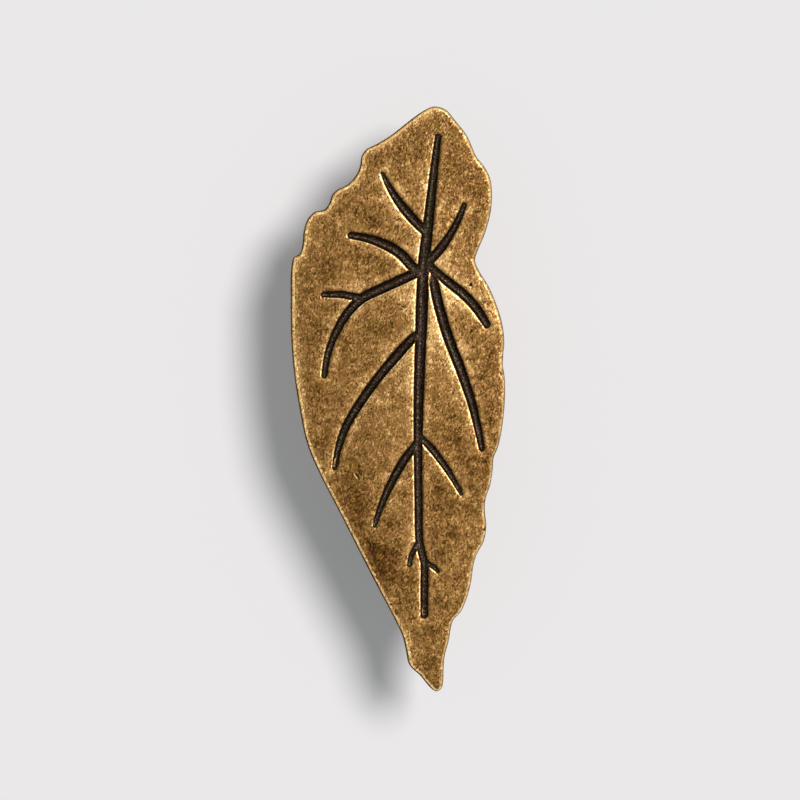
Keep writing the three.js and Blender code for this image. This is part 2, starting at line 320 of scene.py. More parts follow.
def vein_line(size, points, steps=8):
    width = size[0]
    return smooth_line([(*on_leaf(p), p[2] * width / 2) for p in points], steps)


def round_ends(line):
    ends = []
    for end, beside in ((line[0], line[1]), (line[-1], line[-2])):
        away = (end - beside)[:2] / np.linalg.norm((end - beside)[:2])
        ends.append([(*(end[:2] + away * end[2] * math.sin(a)), end[2] * math.cos(a))
                     for a in end_angles])
    return np.array(ends[0][::-1] + list(line) + ends[1])


def vein_bar(name, size, points):
    width, depth = size
    stretch = depth * (1 + bead_lift) / (width / 2)
    line = round_ends(vein_line(size, points))
    lift = bead_lift * depth / (width / 2) / stretch
    places = [(x, -radius * lift, z) for x, z, radius in line]
    drawn = draw_line(name, places, radii=[radius for x, z, radius in line])
    drawn.data.dimensions = "3D"
    drawn.data.bevel_depth = 1
    drawn.data.bevel_resolution = 5
    drawn.data.use_fill_caps = True
    bar = to_mesh(drawn)
    bar.scale.y = stretch
    bar.location.y = face_y
    bpy.ops.object.transform_apply(location=True, rotation=False, scale=True)
    clean_up(bar)
    return bar


for name, (size, points) in veins.items():
    combine(blank, vein_bar(name, size, points), "DIFFERENCE")
describe(blank)

# %% [markdown]
# ## The posts
# A post is a turned shape, so half of its outline is drawn once and swept round the post's own
# axis. The Screw modifier with no rise does that. The foot has a small chamfer, the shank
# tapers a little for the mould, and a fillet runs out into the back of the leaf.

# %% Turn the posts and join them to the leaf
post_foot_radius = 4.5 * mm
post_root_radius = 5 * mm
post_fillet = 2.2 * mm
post_overlap = 1 * mm
foot_chamfer = 0.4 * mm


def turned(name, profile, steps=64):
    drawn = draw_line(name, [(radius, y, 0) for radius, y in profile])
    piece = to_mesh(drawn)
    apply_modifier(piece, "SCREW", axis="Y", angle=2 * math.pi, steps=steps,
                   render_steps=steps, use_merge_vertices=True, merge_threshold=touching)
    clean_up(piece)
    return piece


fillet = [
    (post_root_radius + post_fillet * (1 - math.cos(a)),
     -(standoff - post_fillet * (1 - math.sin(a))))
    for a in np.linspace(0, math.pi / 2, 9)
]
post_profile = [
    (0, 0), (post_foot_radius - foot_chamfer, 0), (post_foot_radius, -foot_chamfer), *fillet,
    (post_root_radius + post_fillet, -(standoff + post_overlap)),
    (0, -(standoff + post_overlap)),
]
for post_height in post_heights:
    post = turned("post", post_profile)
    move_up(post, post_height)
    combine(blank, post, "UNION")
describe(blank)

# %% [markdown]
# ## One fine skin
# Cast metal has no sharp edge anywhere, and its skin is one surface. A voxel remesh gives both:
# it lays an even skin of small squares over the whole body, and a light smoothing rounds every
# edge by about the width of one square. It comes before the crown and the screw threads, since
# a flat plate lies best along the voxels, and a thread is finer than they are.

# %% Remesh and smooth
voxel = 0.25 * mm
apply_modifier(blank, "REMESH", mode="VOXEL", voxel_size=voxel)
apply_modifier(blank, "SMOOTH", factor=0.5, iterations=4)
describe(blank)

# %% [markdown]
# ## The crown
# The face of the leaf is a shallow dome, cut off by the leaf's edge. Each point is moved
# forwards by the height of the dome at its place, which comes down to nothing on an oval a tenth
# larger than the leaf. The back and the posts stay where they are, so the move fades in over
# the first part of the plate's thickness.

# %% Raise the crown
def read_points(piece, what="co"):
    values = np.empty(len(piece.data.vertices) * 3, np.float32)
    piece.data.vertices.foreach_get(what, values)
    return values.reshape(-1, 3).astype(float)


def write_points(piece, points):
    piece.data.vertices.foreach_set("co", points.astype(np.float32).ravel())
    piece.data.update()


def crown_at(x, z):
    across = (x - leaf_middle_x) / (leaf_width / 2 * crown_reach)
    along = (z - leaf_middle_z) / (leaf_length / 2 * crown_reach)
    return crown_rise * (1 - across ** 2 - along ** 2)


def fade(values, start, end):
    share = np.clip((values - start) / (end - start), 0, 1)
    return share * share * (3 - 2 * share)


fade_height = 1.5 * mm
points = read_points(blank)
height = -points[:, 1] - standoff
points[:, 1] -= crown_at(points[:, 0], points[:, 2]) * fade(height, 0, fade_height)
write_points(blank, points)
describe(blank)

# %% [markdown]
# ## The skin of a casting
# Sand and plaster leave a casting slightly uneven, and years of use leave small pits and nicks.
# Noise that follows the place in space pushes the front in and out by a few hundredths of a
# millimetre. Each pit is a smooth dent, put where the real pull has one.

# %% Unevenness, pits and nicks
swell_size, swell_height = 3.2 * mm, 0.03 * mm
grit_size, grit_height = 0.9 * mm, 0.012 * mm
# Dents: (across, up, radius, depth)
dents = [
    (84, 69.5, 0.5 * mm, 0.2 * mm), (31.4, 36.9, 0.5 * mm, 0.12 * mm),
    (46.7, 14.9, 0.45 * mm, 0.12 * mm), (90.6, 27.9, 0.35 * mm, 0.25 * mm),
    (99, 58.1, 0.4 * mm, 0.2 * mm), (98.6, 54.3, 0.4 * mm, 0.2 * mm),
]
normals = read_points(blank, "normal")
front = fade(-points[:, 1], standoff, standoff + fade_height)
uneven = np.array([
    swell_height * noise.noise(Vector(p) / swell_size)
    + grit_height * noise.noise(Vector(p) / grit_size)
    for p in points
])
points += normals * (uneven * front)[:, None]
for across, up, radius, depth in dents:
    x, z = on_leaf((across, up))
    distance = np.hypot(points[:, 0] - x, points[:, 2] - z)
    points -= normals * (depth * fade(distance, radius, 0) * front)[:, None]
write_points(blank, points)
print(len(dents), "dents")

# %% Spend fewer triangles where the skin is flat
triangles_wanted = 165_000
blank.data.calc_loop_triangles()
apply_modifier(blank, "DECIMATE", ratio=triangles_wanted / len(blank.data.loop_triangles))
describe(blank)

# %% [markdown]
# ## Tapped holes
# A tap leaves a helical groove in the wall of a drilled hole. The cutter for it is made as one
# body: the drill's shape, turned like the posts, with a ridge wound round it. The ridge is a
# small blunted triangle that the Screw modifier winds up one pitch each turn, which gives a
# right-handed thread. Taking this body away from each post leaves drilled and tapped holes.

# %% Wind the thread and tap the posts
drill_radius = 1.65 * mm
drill_depth = 11 * mm
drill_point_angle = math.radians(118)
drill_point = drill_radius / math.tan(drill_point_angle / 2)
mouth_radius = 2.4 * mm
thread_radius = 2.03 * mm
thread_pitch = 0.7 * mm
thread_turns = 15
thread_overlap = 0.1 * mm
thread_half_base = 0.3 * mm
thread_half_crest = 0.05 * mm
overshoot = 0.3 * mm

drill_profile = [
    (0, overshoot), (mouth_radius + overshoot, overshoot),
    (drill_radius, drill_radius - mouth_radius), (drill_radius, -drill_depth),
    (0, -drill_depth - drill_point),
]


def thread_ridge():
    root = drill_radius - thread_overlap
    start = overshoot - thread_turns * thread_pitch
    outline = [(root, start - thread_half_base), (thread_radius, start - thread_half_crest),
               (thread_radius, start + thread_half_crest), (root, start + thread_half_base)]
    ridge = to_mesh(draw_line("ridge", [(x, y, 0) for x, y in outline], closed=True))
    apply_modifier(ridge, "SCREW", axis="Y", angle=2 * math.pi, screw_offset=thread_pitch,
                   iterations=thread_turns, steps=32, render_steps=32)
    bpy.ops.object.mode_set(mode="EDIT")
    bpy.ops.mesh.select_all(action="SELECT")
    bpy.ops.mesh.fill_holes(sides=len(outline))
    bpy.ops.object.mode_set(mode="OBJECT")
    clean_up(ridge)
    return ridge


for post_height in post_heights:
    tap = turned("tap", drill_profile, steps=32)
    combine(tap, thread_ridge(), "UNION")
    clean_up(tap)
    move_up(tap, post_height)
    combine(blank, tap, "DIFFERENCE")
describe(blank)

# %% [markdown]
# ## Where the finish wears
# The dark finish stays where a rag can't reach and goes where it can. A few measures tell the
# material what each point of the skin is like: how deep it lies below the crowned face, how far
# it is from the nearest vein and from the leaf's outline, on which side of them it lies, and
# how sharply the skin bends there. The side is there for painted light: the lip of each vein on
# the lit side gets a painted highlight and the far lip a painted shade, and the rim is painted
# lighter or darker on one side. The two directions for this are given across and up the leaf.
# The measures are worked out once and stored in the mesh as attributes, lengths in
# millimetres, so that the material can follow the carving closely.

# %% Helpers for the measures
def nearest(places, centres, radii=0.0, chunk=2000):
    gaps, directions, numbers = [], [], []
    for start in range(0, len(places), chunk):
        part = places[start:start + chunk]
        away = np.hypot(part[:, :1] - centres[:, 0], part[:, 1:] - centres[:, 1])
        closest = (away - radii).argmin(axis=1)
        rows = np.arange(len(part))
        gaps.append((away - radii)[rows, closest])
        directions.append((part - centres[closest]) / away[rows, closest][:, None])
        numbers.append(closest)
    return np.concatenate(gaps), np.concatenate(directions), np.concatenate(numbers)


def store(piece, name, values):
    attribute = piece.data.attributes.new(name, "FLOAT", "POINT")
    attribute.data.foreach_set("value", values.astype(np.float32))
    print(f"{name}: {values.min():.2f} to {values.max():.2f}")


# %% How far each point is from the veins and the rim, and how deep it lies
front_starts = standoff + 0.3 * mm
far_away = 20.0
# Directions of painted light: vein lips on the lit side are painted bright and far lips dark,
# and the rim is painted differently on its left than on its right.
lit_lip_direction = np.array([-0.45, -0.9])
painted_rim_direction = np.array([0.9, -0.45])
points = read_points(blank)
on_front = -points[:, 1] > front_starts
flat_places = points[on_front][:, [0, 2]]


def on_whole(values, elsewhere=0.0):
    whole = np.full(len(points), elsewhere)
    whole[on_front] = values
    return whole


vein_lines = [vein_line(size, line, steps=24) for size, line in veins.values()]
vein_ends = np.cumsum([len(line) for line in vein_lines]) - 1
fine_veins = np.vstack(vein_lines)
gaps, directions, numbers = nearest(flat_places, fine_veins[:, :2], fine_veins[:, 2])
store(blank, "vein_gap", on_whole(gaps / mm, far_away))
store(blank, "lit_side_of_vein", on_whole(directions @ lit_lip_direction * ~np.isin(numbers, vein_ends)))

fine_edge = smooth_line([on_leaf(p) for p in edge_points], 30, closed=True)
gaps, directions, numbers = nearest(flat_places, fine_edge)
store(blank, "rim_gap", on_whole(gaps / mm, far_away))
store(blank, "painted_rim_side", on_whole(directions @ painted_rim_direction))

face_level = standoff + rim_thickness + crown_at(points[:, 0], points[:, 2])
store(blank, "depth", (face_level + points[:, 1]) / mm)

# %% [markdown]
# A few broad patches are made lighter or darker than the rest: the point where the veins meet
# is the brightest, and the lower left of the leaf the darkest.

# %% Broad patches: (across, up, width in mm, height in mm, change)
patches = [
    (28, 34, 4, 6, -0.12), (41, 23, 5, 9, -0.24), (42, 62.6, 5, 3, -0.09),
    (84.5, 85, 3, 3.5, -0.06), (91.5, 53, 2.5, 8, -0.1), (76.5, 33.6, 6, 4, -0.12),
    (92, 40, 4, 6, -0.08), (71, 16, 5, 6, -0.08), (69.6, 95.9, 3, 2, -0.04),
    (35, 82, 4, 5, -0.06), (74, 41, 4, 4, -0.1), (14, 42, 3, 4, -0.1),
    (66, 68.6, 6, 8, 0.3), (90, 67, 4, 4, 0.12), (76.5, 55.8, 3, 5, 0.1),
    (53, 54, 5, 6, 0.14), (28, 68.6, 4.5, 4, 0.08),
]
patch_tone = np.zeros(len(points))
for across, up, width, height, change in patches:
    x, z = on_leaf((across, up))
    beside, above = (points[:, 0] - x) / (width * mm), (points[:, 2] - z) / (height * mm)
    patch_tone += change * np.exp(-(beside ** 2 + above ** 2))
store(blank, "patch_tone", patch_tone)

# %% [markdown]
# An edge that stands out is rubbed first. Along each line between two neighbouring points, the
# skin bends outwards by as much as its normals spread apart. The bends of all the lines that
# meet in a point are averaged, and the result is smoothed twice over the neighbours.

# %% How sharply the skin bends outwards
shortest_step = 0.02 * mm
sharpest_bend = 3
edge_ends = np.empty(len(blank.data.edges) * 2, np.int32)
blank.data.edges.foreach_get("vertices", edge_ends)
first, second = edge_ends.reshape(-1, 2).T
normals = read_points(blank, "normal")
step = points[first] - points[second]
turn = normals[first] - normals[second]
bend = (turn * step).sum(1) / np.maximum((step * step).sum(1), shortest_step ** 2) * mm


def sum_at_points(per_edge=None):
    return sum(np.bincount(ends, per_edge, len(points)) for ends in (first, second))


edges_met = sum_at_points()


def average(per_edge):
    return sum_at_points(per_edge) / edges_met


convexity = np.clip(average(bend), -sharpest_bend, sharpest_bend)
for _ in range(2):
    convexity = average((convexity[first] + convexity[second]) / 2)
store(blank, "convexity", convexity)

# %% [markdown]
# ## Shader helpers
# A material is a small network of nodes. These helpers add a node, set its values and join its
# inputs in one line, so that the recipe for each finish reads from top to bottom. ease gives a
# mask, which climbs smoothly from 0 where a value passes start to 1 where it reaches full. The
# start may be the larger of the two. between mixes two numbers by a share from 0 to 1.

# %% Helpers for node trees
def fill(tree, node, inputs):
    for key, value in inputs.items():
        if isinstance(value, bpy.types.NodeSocket):
            tree.links.new(value, node.inputs[key])
        else:
            node.inputs[key].default_value = value


def add(tree, kind, inputs=None, **settings):
    node = tree.nodes.new(kind)
    for key, value in settings.items():
        setattr(node, key, value)
    fill(tree, node, inputs or {})
    return node


def maths(tree, operation, a, b=0.0, clamp=False):
    node = add(tree, "ShaderNodeMath", {0: a, 1: b}, operation=operation, use_clamp=clamp)
    return node.outputs[0]


def times(tree, a, b):
    return maths(tree, "MULTIPLY", a, b)


def rest_of(tree, share, clamp=False):
    return maths(tree, "SUBTRACT", 1.0, share, clamp)


def total(tree, *values):
    result = values[0]
    for value in values[1:]:
        result = maths(tree, "ADD", result, value)
    return result


def on_colours(tree, operation, *inputs):
    node = add(tree, "ShaderNodeVectorMath", dict(enumerate(inputs)), operation=operation)
    return node.outputs[0]


def ease(tree, value, start, full):
    return add(tree, "ShaderNodeMapRange", {0: value, 1: start, 2: full},
               interpolation_type="SMOOTHSTEP").outputs[0]


def between(tree, share, low, high):
    return add(tree, "ShaderNodeMapRange", {0: share, 3: low, 4: high}).outputs[0]


def read_measure(tree, name):
    return add(tree, "ShaderNodeAttribute", attribute_name=name).outputs["Fac"]


def ramp(tree, value, stops):
    node = add(tree, "ShaderNodeValToRGB", {0: value})
    elements = node.color_ramp.elements
    while len(elements) < len(stops):
        elements.new(0.5)
    for element, (position, colour) in zip(elements, stops):
        element.position = position
        element.color = (*colour, 1)
    return node.outputs[0]


def new_material(name):
    material = bpy.data.materials.new(name)
    material.use_nodes = True
    return material, material.node_tree, material.node_tree.nodes["Principled BSDF"]


# %% [markdown]
# ## Mottle, a shared effect
# Patches, blotches and grain are the same pattern at different sizes: noise in space. The group
# takes the size of its features in millimetres and how much fine detail rides on them. It
# gives a value that is spread evenly about zero, which a material adds to its own recipe.

# %% The mottle group
def make_mottle_group():
    group = bpy.data.node_groups.new("mottle", "ShaderNodeTree")
    for name, default in (("Size", 2.0), ("Detail", 3.0), ("Roughness", 0.5), ("Strength", 1.0),
                          ("Offset", 0.0)):
        socket = group.interface.new_socket(name, in_out="INPUT", socket_type="NodeSocketFloat")
        socket.default_value = default
    stretch = group.interface.new_socket(
        "Stretch", in_out="INPUT", socket_type="NodeSocketVector")
    stretch.default_value = (1, 1, 1)
    group.interface.new_socket("Value", in_out="OUTPUT", socket_type="NodeSocketFloat")
    given = add(group, "NodeGroupInput").outputs
    place = add(group, "ShaderNodeTexCoord").outputs["Object"]
    per_size = maths(group, "DIVIDE", 1 / mm, given["Size"])
    scaled = add(group, "ShaderNodeVectorMath", {0: place, "Scale": per_size},
                 operation="SCALE")
    moved = add(group, "ShaderNodeVectorMath", {
        0: scaled.outputs[0], 1: given["Stretch"], 2: given["Offset"]},
        operation="MULTIPLY_ADD")
    grain = add(group, "ShaderNodeTexNoise", {
        "Vector": moved.outputs[0], "Scale": 1.0, "Detail": given["Detail"],
        "Roughness": given["Roughness"]})
    centred = maths(group, "SUBTRACT", grain.outputs[0], 0.5)
    result = maths(group, "MULTIPLY", centred, given["Strength"])
    add(group, "NodeGroupOutput", {"Value": result})
    return group


mottle_group = make_mottle_group()


def mottle(tree, size, strength, detail=3.0, roughness=0.5, offset=0.0, stretch=(1, 1, 1)):
    return add(tree, "ShaderNodeGroup", {
        "Size": size, "Detail": detail, "Roughness": roughness, "Strength": strength,
        "Offset": offset, "Stretch": stretch}, node_tree=mottle_group).outputs[0]


print(mottle_group.name, "with", len(mottle_group.nodes), "nodes")

# %% [markdown]
# ## Nick, a shared effect
# Use leaves a few pits and short scratches. Each is an oval on the face of the leaf, deep enough
# to reach into a vein, with its own place, length, width and slant. The group gives 1 inside
# the oval and fades to 0 at its edge. The material makes such a spot dark and sunken, or bright
# where a burr stands up or where a ridge between veins is rubbed bare. The same ovals also
# place painted glints: painted highlights where the lip at a vein's end catches the light.

# %% The nick group
def make_nick_group():
    group = bpy.data.node_groups.new("nick", "ShaderNodeTree")
    for name, kind in (("Place", "Vector"), ("Slant", "Float"), ("Size", "Vector")):
        group.interface.new_socket(name, in_out="INPUT", socket_type="NodeSocket" + kind)
    group.interface.new_socket("Mask", in_out="OUTPUT", socket_type="NodeSocketFloat")
    given = add(group, "NodeGroupInput").outputs
    place = add(group, "ShaderNodeTexCoord").outputs["Object"]
    from_place = add(group, "ShaderNodeVectorMath", {0: place, 1: given["Place"]},
                     operation="SUBTRACT").outputs[0]
    turned_back = add(group, "ShaderNodeVectorRotate", {
        "Vector": from_place, "Angle": given["Slant"]}, rotation_type="Y_AXIS").outputs[0]
    scaled = add(group, "ShaderNodeVectorMath", {0: turned_back, 1: given["Size"]},
                 operation="DIVIDE").outputs[0]
    reach = add(group, "ShaderNodeVectorMath", {0: scaled}, operation="LENGTH").outputs["Value"]
    add(group, "NodeGroupOutput", {"Mask": ease(group, reach, start=1.0, full=0.5)})
    return group


nick_group = make_nick_group()
nick_reach = 3 * mm


def nick(tree, across, up, length, width, slant):
    x, z = on_leaf((across, up))
    return add(tree, "ShaderNodeGroup", {
        "Place": (x, face_y, z), "Size": (length / 2 * mm, nick_reach, width / 2 * mm),
        "Slant": math.radians(slant)}, node_tree=nick_group).outputs[0]


print(nick_group.name, "with", len(nick_group.nodes), "nodes")

# %% [markdown]
# ## Antique brass
# The casting is first blackened all over and then rubbed back. How far it is rubbed back is
# one number from 0 to 1, and a colour ramp turns it into black-brown, brown, brass and bright
# brass. Painted highlights, painted shade and painted reflections are added to the same number.
# The number could be painted by hand, but masks made from the stored measures follow
# the carving wherever it goes. Lengths in them are millimetres. The finish also varies in
# clouds, blotches and spots, which are one pattern at three sizes.

# %% Read the measures, and lay the patches of every size
brass, tree, shader = new_material("antique_finish")
depth, vein_gap, lit_side_of_vein, rim_gap, painted_rim_side, bends_out, patch_tone = (
    read_measure(tree, name) for name in
    ("depth", "vein_gap", "lit_side_of_vein", "rim_gap", "painted_rim_side", "convexity", "patch_tone"))
clouds = mottle(tree, size=9.0, strength=0.32, detail=1.0)
blotches = mottle(tree, size=2.8, strength=0.36, detail=1.0, offset=7.3)
spots = mottle(tree, size=1.1, strength=0.46, detail=1.0, offset=5.9)
print(len(tree.nodes), "nodes read the skin and mottle it")

# %% [markdown]
# The rag rubs hardest on what stands out: the rim, the lips of the veins and any other edge.
# The rim band is also moved by painted light: on the left it lies a little farther from the
# outline, behind a painted shade of the side wall, and on the right it runs out to the outline
# as a painted highlight. The left rim is painted brighter and the face beside it lighter, a
# painted reflection on the side away from the key lamp.

# %% Where the rag has rubbed down to the brass, with painted light on the rim and the lips
# The shift below moves the rim band for painted light: inwards on the left, where painted shade
# of the side wall comes first, and outwards on the right as a painted highlight.
painted_rim_shift = 0.17
painted_rim_place = maths(tree, "SUBTRACT", rim_gap, times(tree, painted_rim_side, painted_rim_shift))
rim_band = times(tree, ease(tree, painted_rim_place, start=0.9, full=0.5),
                 ease(tree, painted_rim_place, start=0.1, full=0.4))
# The left rim is painted brighter and the face beside it lighter: a painted reflection on the
# side away from the key lamp.
left_side = ease(tree, painted_rim_side, start=0.3, full=0.8)
painted_left_rim = times(tree, rim_band, left_side)
painted_beside_left_rim = times(tree, ease(tree, rim_gap, start=2.4, full=1.0), left_side)
beside_vein = ease(tree, vein_gap, start=2.2, full=0.6)
# The lip on the lit side of each vein is painted bright: partly a rubbed edge, partly a painted
# highlight.
lip_band = times(tree, ease(tree, vein_gap, start=0.26, full=0.06),
                 ease(tree, vein_gap, start=-0.16, full=0.0))
lip_wear_and_highlight = times(tree, lip_band, ease(tree, lit_side_of_vein, start=0.05, full=0.4))
edge = times(tree, ease(tree, bends_out, start=0.3, full=1.0),
             ease(tree, vein_gap, start=1.0, full=2.0))
print(len(tree.nodes), "nodes with the rubbed places")

# %% [markdown]
# It can't reach the back, the pits or the vein itself. The far lip of a vein is painted dark,
# a painted shade, and the side wall keeps its dark finish and is painted darker as painted
# shade. In a vein it only rubs the ridge that stands where two veins meet, and one more ridge in
# the table below, beside the glints, which are painted highlights.

# %% Where it could not reach, and painted shade on the far lips and the side wall
behind = ease(tree, depth, start=2.2, full=2.6)
in_dent = times(tree, ease(tree, depth, start=0.07, full=0.18),
                ease(tree, rim_gap, start=0.9, full=1.2))
pit = times(tree, in_dent, rest_of(tree, behind))
# The far lip of each vein, away from the light, is painted darker: painted shade.
far_lip_painted_shade = times(tree, ease(tree, vein_gap, start=0.4, full=0.0),
                ease(tree, lit_side_of_vein, start=0.0, full=-0.4))
# The side wall is darkened both as dark finish and as painted shade, along the shifted rim.
side_wall_finish_and_shade = maths(tree, "MAXIMUM", ease(tree, painted_rim_place, start=0.34, full=0.22),
                  ease(tree, rim_gap, start=0.26, full=0.14))
ridge = times(tree, ease(tree, bends_out, start=0.4, full=1.2),
              ease(tree, depth, start=0.6, full=0.35))
in_vein = times(tree, ease(tree, vein_gap, start=0.02, full=-0.2), rest_of(tree, ridge))
print(len(tree.nodes), "nodes with the sheltered places")

# %% Marks of use and painted glints: (across, up, length in mm, width in mm, slant in degrees)
nick_rows = [
    (84, 69.5, 1, 0.7, 60), (31.2, 36.9, 1.8, 0.36, -54), (32.5, 37.2, 1.3, 0.34, -54),
    (46.6, 15, 0.7, 0.6, 0), (90.4, 27.8, 1.4, 0.5, 70), (50.2, 80.6, 1.2, 0.3, 35),
]
burr_rows = [
    (30.4, 36.8, 1.9, 0.34, -54), (31.9, 37.2, 1.6, 0.2, -54), (84.9, 69.7, 0.9, 0.4, 80),
]
# The first row is a rubbed ridge where two veins meet; the others are painted highlights at vein
# ends.
worn_ridge_and_glint_rows = [
    (64.7, 70.2, 5, 0.55, 87), (14.4, 54.8, 2.9, 0.36, 83), (20.5, 39.2, 3.0, 0.36, 76),
    (38.4, 28.7, 1.2, 0.36, 70), (61.4, 13.8, 2.6, 0.34, 91),
]
nicks, burrs, worn_ridge_and_painted_glints = (
    total(tree, *(nick(tree, *row) for row in rows))
    for rows in (nick_rows, burr_rows, worn_ridge_and_glint_rows))
glint_clears = 0.85
groove = times(tree, in_vein, rest_of(tree, times(tree, worn_ridge_and_painted_glints, glint_clears)))
print(len(nick_rows), "nicks,", len(burr_rows), "burrs and", len(worn_ridge_and_glint_rows), "worn_ridge_and_painted_glints")

# %% [markdown]
# All that raises or lowers the number is added up in one table. It starts a little under one
# half, as on the open face of the leaf.

# %% How far the finish is rubbed back, and the colours from thick dark finish to bare brass
open_face = 0.42
# Besides rubbing, the table holds painted light: the lips, far lips, side wall, left rim and the
# face beside it, the shifted rim band and the glints.
changes = [
    (beside_vein, 0.12), (rim_band, 0.52), (painted_left_rim, 0.14), (painted_beside_left_rim, 0.18), (lip_wear_and_highlight, 0.62),
    (edge, 0.26), (far_lip_painted_shade, -0.12), (side_wall_finish_and_shade, -0.4), (behind, -0.12), (pit, -0.5),
    (nicks, -0.8), (burrs, 0.4), (worn_ridge_and_painted_glints, 0.95),
]
rubbed = total(tree, open_face, clouds, blotches, spots, patch_tone,
               *(times(tree, mask, change) for mask, change in changes))
rubbed = maths(tree, "SUBTRACT", rubbed, groove, clamp=True)
black_brown = (0.019, 0.011, 0.005)
dark_brown = (0.072, 0.033, 0.006)
brown = (0.195, 0.102, 0.03)
dull_brass = (0.45, 0.277, 0.105)
bright_brass = (0.76, 0.5, 0.215)
colour = ramp(tree, rubbed, [
    (0.0, black_brown), (0.2, dark_brown), (0.5, brown), (0.8, dull_brass), (1.0, bright_brass)])
print(len(changes), "masks change how far the finish is rubbed back")

# %% [markdown]
# Fine grain is multiplied onto the colour, because pores and hairlines darken or brighten a
# surface by a share of what it has. Dark grain is browner and bright grain paler, which three
# different factors for red, green and blue give. In the veins it is weaker.

# %% Fine grain
upright = (1.15, 1, 0.8)
darkest_fleck, least_flecks = -0.2, 0.45
flecks = mottle(tree, size=0.38, strength=2.0, detail=2.0, roughness=0.7, offset=3.1,
                stretch=upright)
patchy = maths(tree, "ADD", 1.0, mottle(tree, size=1.6, strength=3.0, detail=1.0, offset=8.8))
flecks = times(tree, maths(tree, "MAXIMUM", flecks, darkest_fleck),
               maths(tree, "MAXIMUM", patchy, least_flecks))
# The specks below are painted sparkle: tiny painted highlights put into the colour.
specks = mottle(tree, size=0.38, strength=1.0, detail=0.0, offset=2.6, stretch=upright)
sparkle_strength = 0.6
sparkle = times(tree, ease(tree, specks, start=0.14, full=0.28), sparkle_strength)
fine = times(tree, total(tree, flecks, sparkle), between(tree, groove, low=1.0, high=0.3))
print(len(tree.nodes), "nodes with the grain")

# %% [markdown]
# The finish leans to green or to red from place to place, the left rim is painted more golden as
# a painted reflection, and grey-brown dust lies in the veins.

# %% Tints and dust
unchanged = (1, 1, 1)
green_lean = (-0.018, 0.015, -0.008)
grain_tint = (2.3, 2.7, 3.6)
darkest_grain = (0.35, 0.35, 0.35)
# The gold tint on the left rim is part of its painted reflection.
painted_rim_gold = (0.12, -0.03, -0.2)
dust_colour = (0.095, 0.072, 0.054, 1)
tone = mottle(tree, size=2.2, strength=1.0, detail=2.0, offset=9.4)
colour = on_colours(tree, "MULTIPLY_ADD", tone, green_lean, colour)
shift = on_colours(tree, "MULTIPLY_ADD", fine, grain_tint, unchanged)
colour = on_colours(tree, "MULTIPLY", colour, on_colours(tree, "MAXIMUM", shift, darkest_grain))
golden = on_colours(tree, "MULTIPLY_ADD", painted_left_rim, painted_rim_gold, unchanged)
colour = on_colours(tree, "MULTIPLY", colour, golden)
dusty = ease(tree, mottle(tree, size=0.3, strength=1.0, detail=1.0, offset=6.2),
             start=-0.05, full=0.25)
colour = add(tree, "ShaderNodeMix", {
    "Factor": times(tree, groove, dusty), 6: colour, 7: dust_colour},
    data_type="RGBA").outputs[2]
print(len(tree.nodes), "nodes with the tints")

# %% [markdown]
# Rubbed metal is smoother than the dark finish, but deep in the veins that finish has kept some
# shine. Where it is thick, as on the side wall, the surface is an oxide and no longer bare
# metal, so Metallic falls with it. The relief of grain, rough casting and nicks is too fine for
# the mesh and goes into a Bump node.

# %% Roughness, bare metal and relief
by_rubbing = between(tree, total(tree, rubbed, fine), low=0.66, high=0.36)
roughness = total(tree, by_rubbing, times(tree, groove, -0.3), times(tree, side_wall_finish_and_shade, 0.1))
oxide = total(tree, times(tree, groove, 0.15), times(tree, side_wall_finish_and_shade, 0.85))
nick_sinks = -3.0
grain = mottle(tree, size=0.55, strength=1.0, detail=3.0, roughness=0.6, offset=1.7)
rough_cast = mottle(tree, size=0.3, strength=4.0, detail=2.0, roughness=0.7, offset=6.2)
relief = total(tree, grain, times(tree, groove, rough_cast), times(tree, nicks, nick_sinks))
bump = add(tree, "ShaderNodeBump", {"Strength": 0.6, "Distance": 0.04 * mm, "Height": relief})
fill(tree, shader, {
    "Base Color": colour,
    "Roughness": roughness,
    "Metallic": rest_of(tree, oxide, clamp=True),
    "Normal": bump.outputs[0],
    "Specular Tint": (0.7, 0.52, 0.34, 1),
    "Specular IOR Level": 0.05,
})
print(brass.name, "with", len(tree.nodes), "nodes")

# %% [markdown]
# ## Cut brass
# The feet of the posts are faced and the holes drilled and tapped after the casting is
# darkened, so bare metal shows there. It is plain brass with the fine marks of the cutter.

# %% The cut brass finish
cut_brass, tree, shader = new_material("cut_brass")
shaded_cut = (0.38, 0.24, 0.09)
bright_cut = (0.62, 0.43, 0.18)
shade = maths(tree, "ADD", 0.5, mottle(tree, size=0.9, strength=0.8, offset=4.4))
fill(tree, shader, {
    "Base Color": ramp(tree, shade, [(0.0, shaded_cut), (1.0, bright_cut)]),
    "Roughness": between(tree, shade, low=0.25, high=0.4),
    "Metallic": 1.0,
})
print(cut_brass.name, "with", len(tree.nodes), "nodes")

# %% Give each face its finish
hole_margin = 0.01 * mm
foot_margin = 0.05 * mm
smooth_below = math.radians(40)
blank.data.materials.clear()
blank.data.materials.append(brass)
blank.data.materials.append(cut_brass)
for face in blank.data.polygons:
    centre = face.center
    from_axis = math.hypot(centre.x, abs(centre.z) - screw_spacing / 2)
    in_hole = from_axis < mouth_radius + hole_margin and centre.y > -drill_depth - drill_point
    on_foot = centre.y > -foot_margin
    face.material_index = 1 if in_hole or on_foot else 0
pick(blank)
bpy.ops.object.shade_smooth_by_angle(angle=smooth_below)
blank.name = "cast_leaf"
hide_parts("leaf_pull")
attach(blank, "root")
print("cut faces:", sum(face.material_index for face in blank.data.polygons))

# %% [markdown]
# ## The wall
# The pull hangs in front of a plain pale surface that catches its shadow. It has only a front:
# seen from behind it lets the view through, and it stops no light, so that the back of the
# pull can be looked at too.

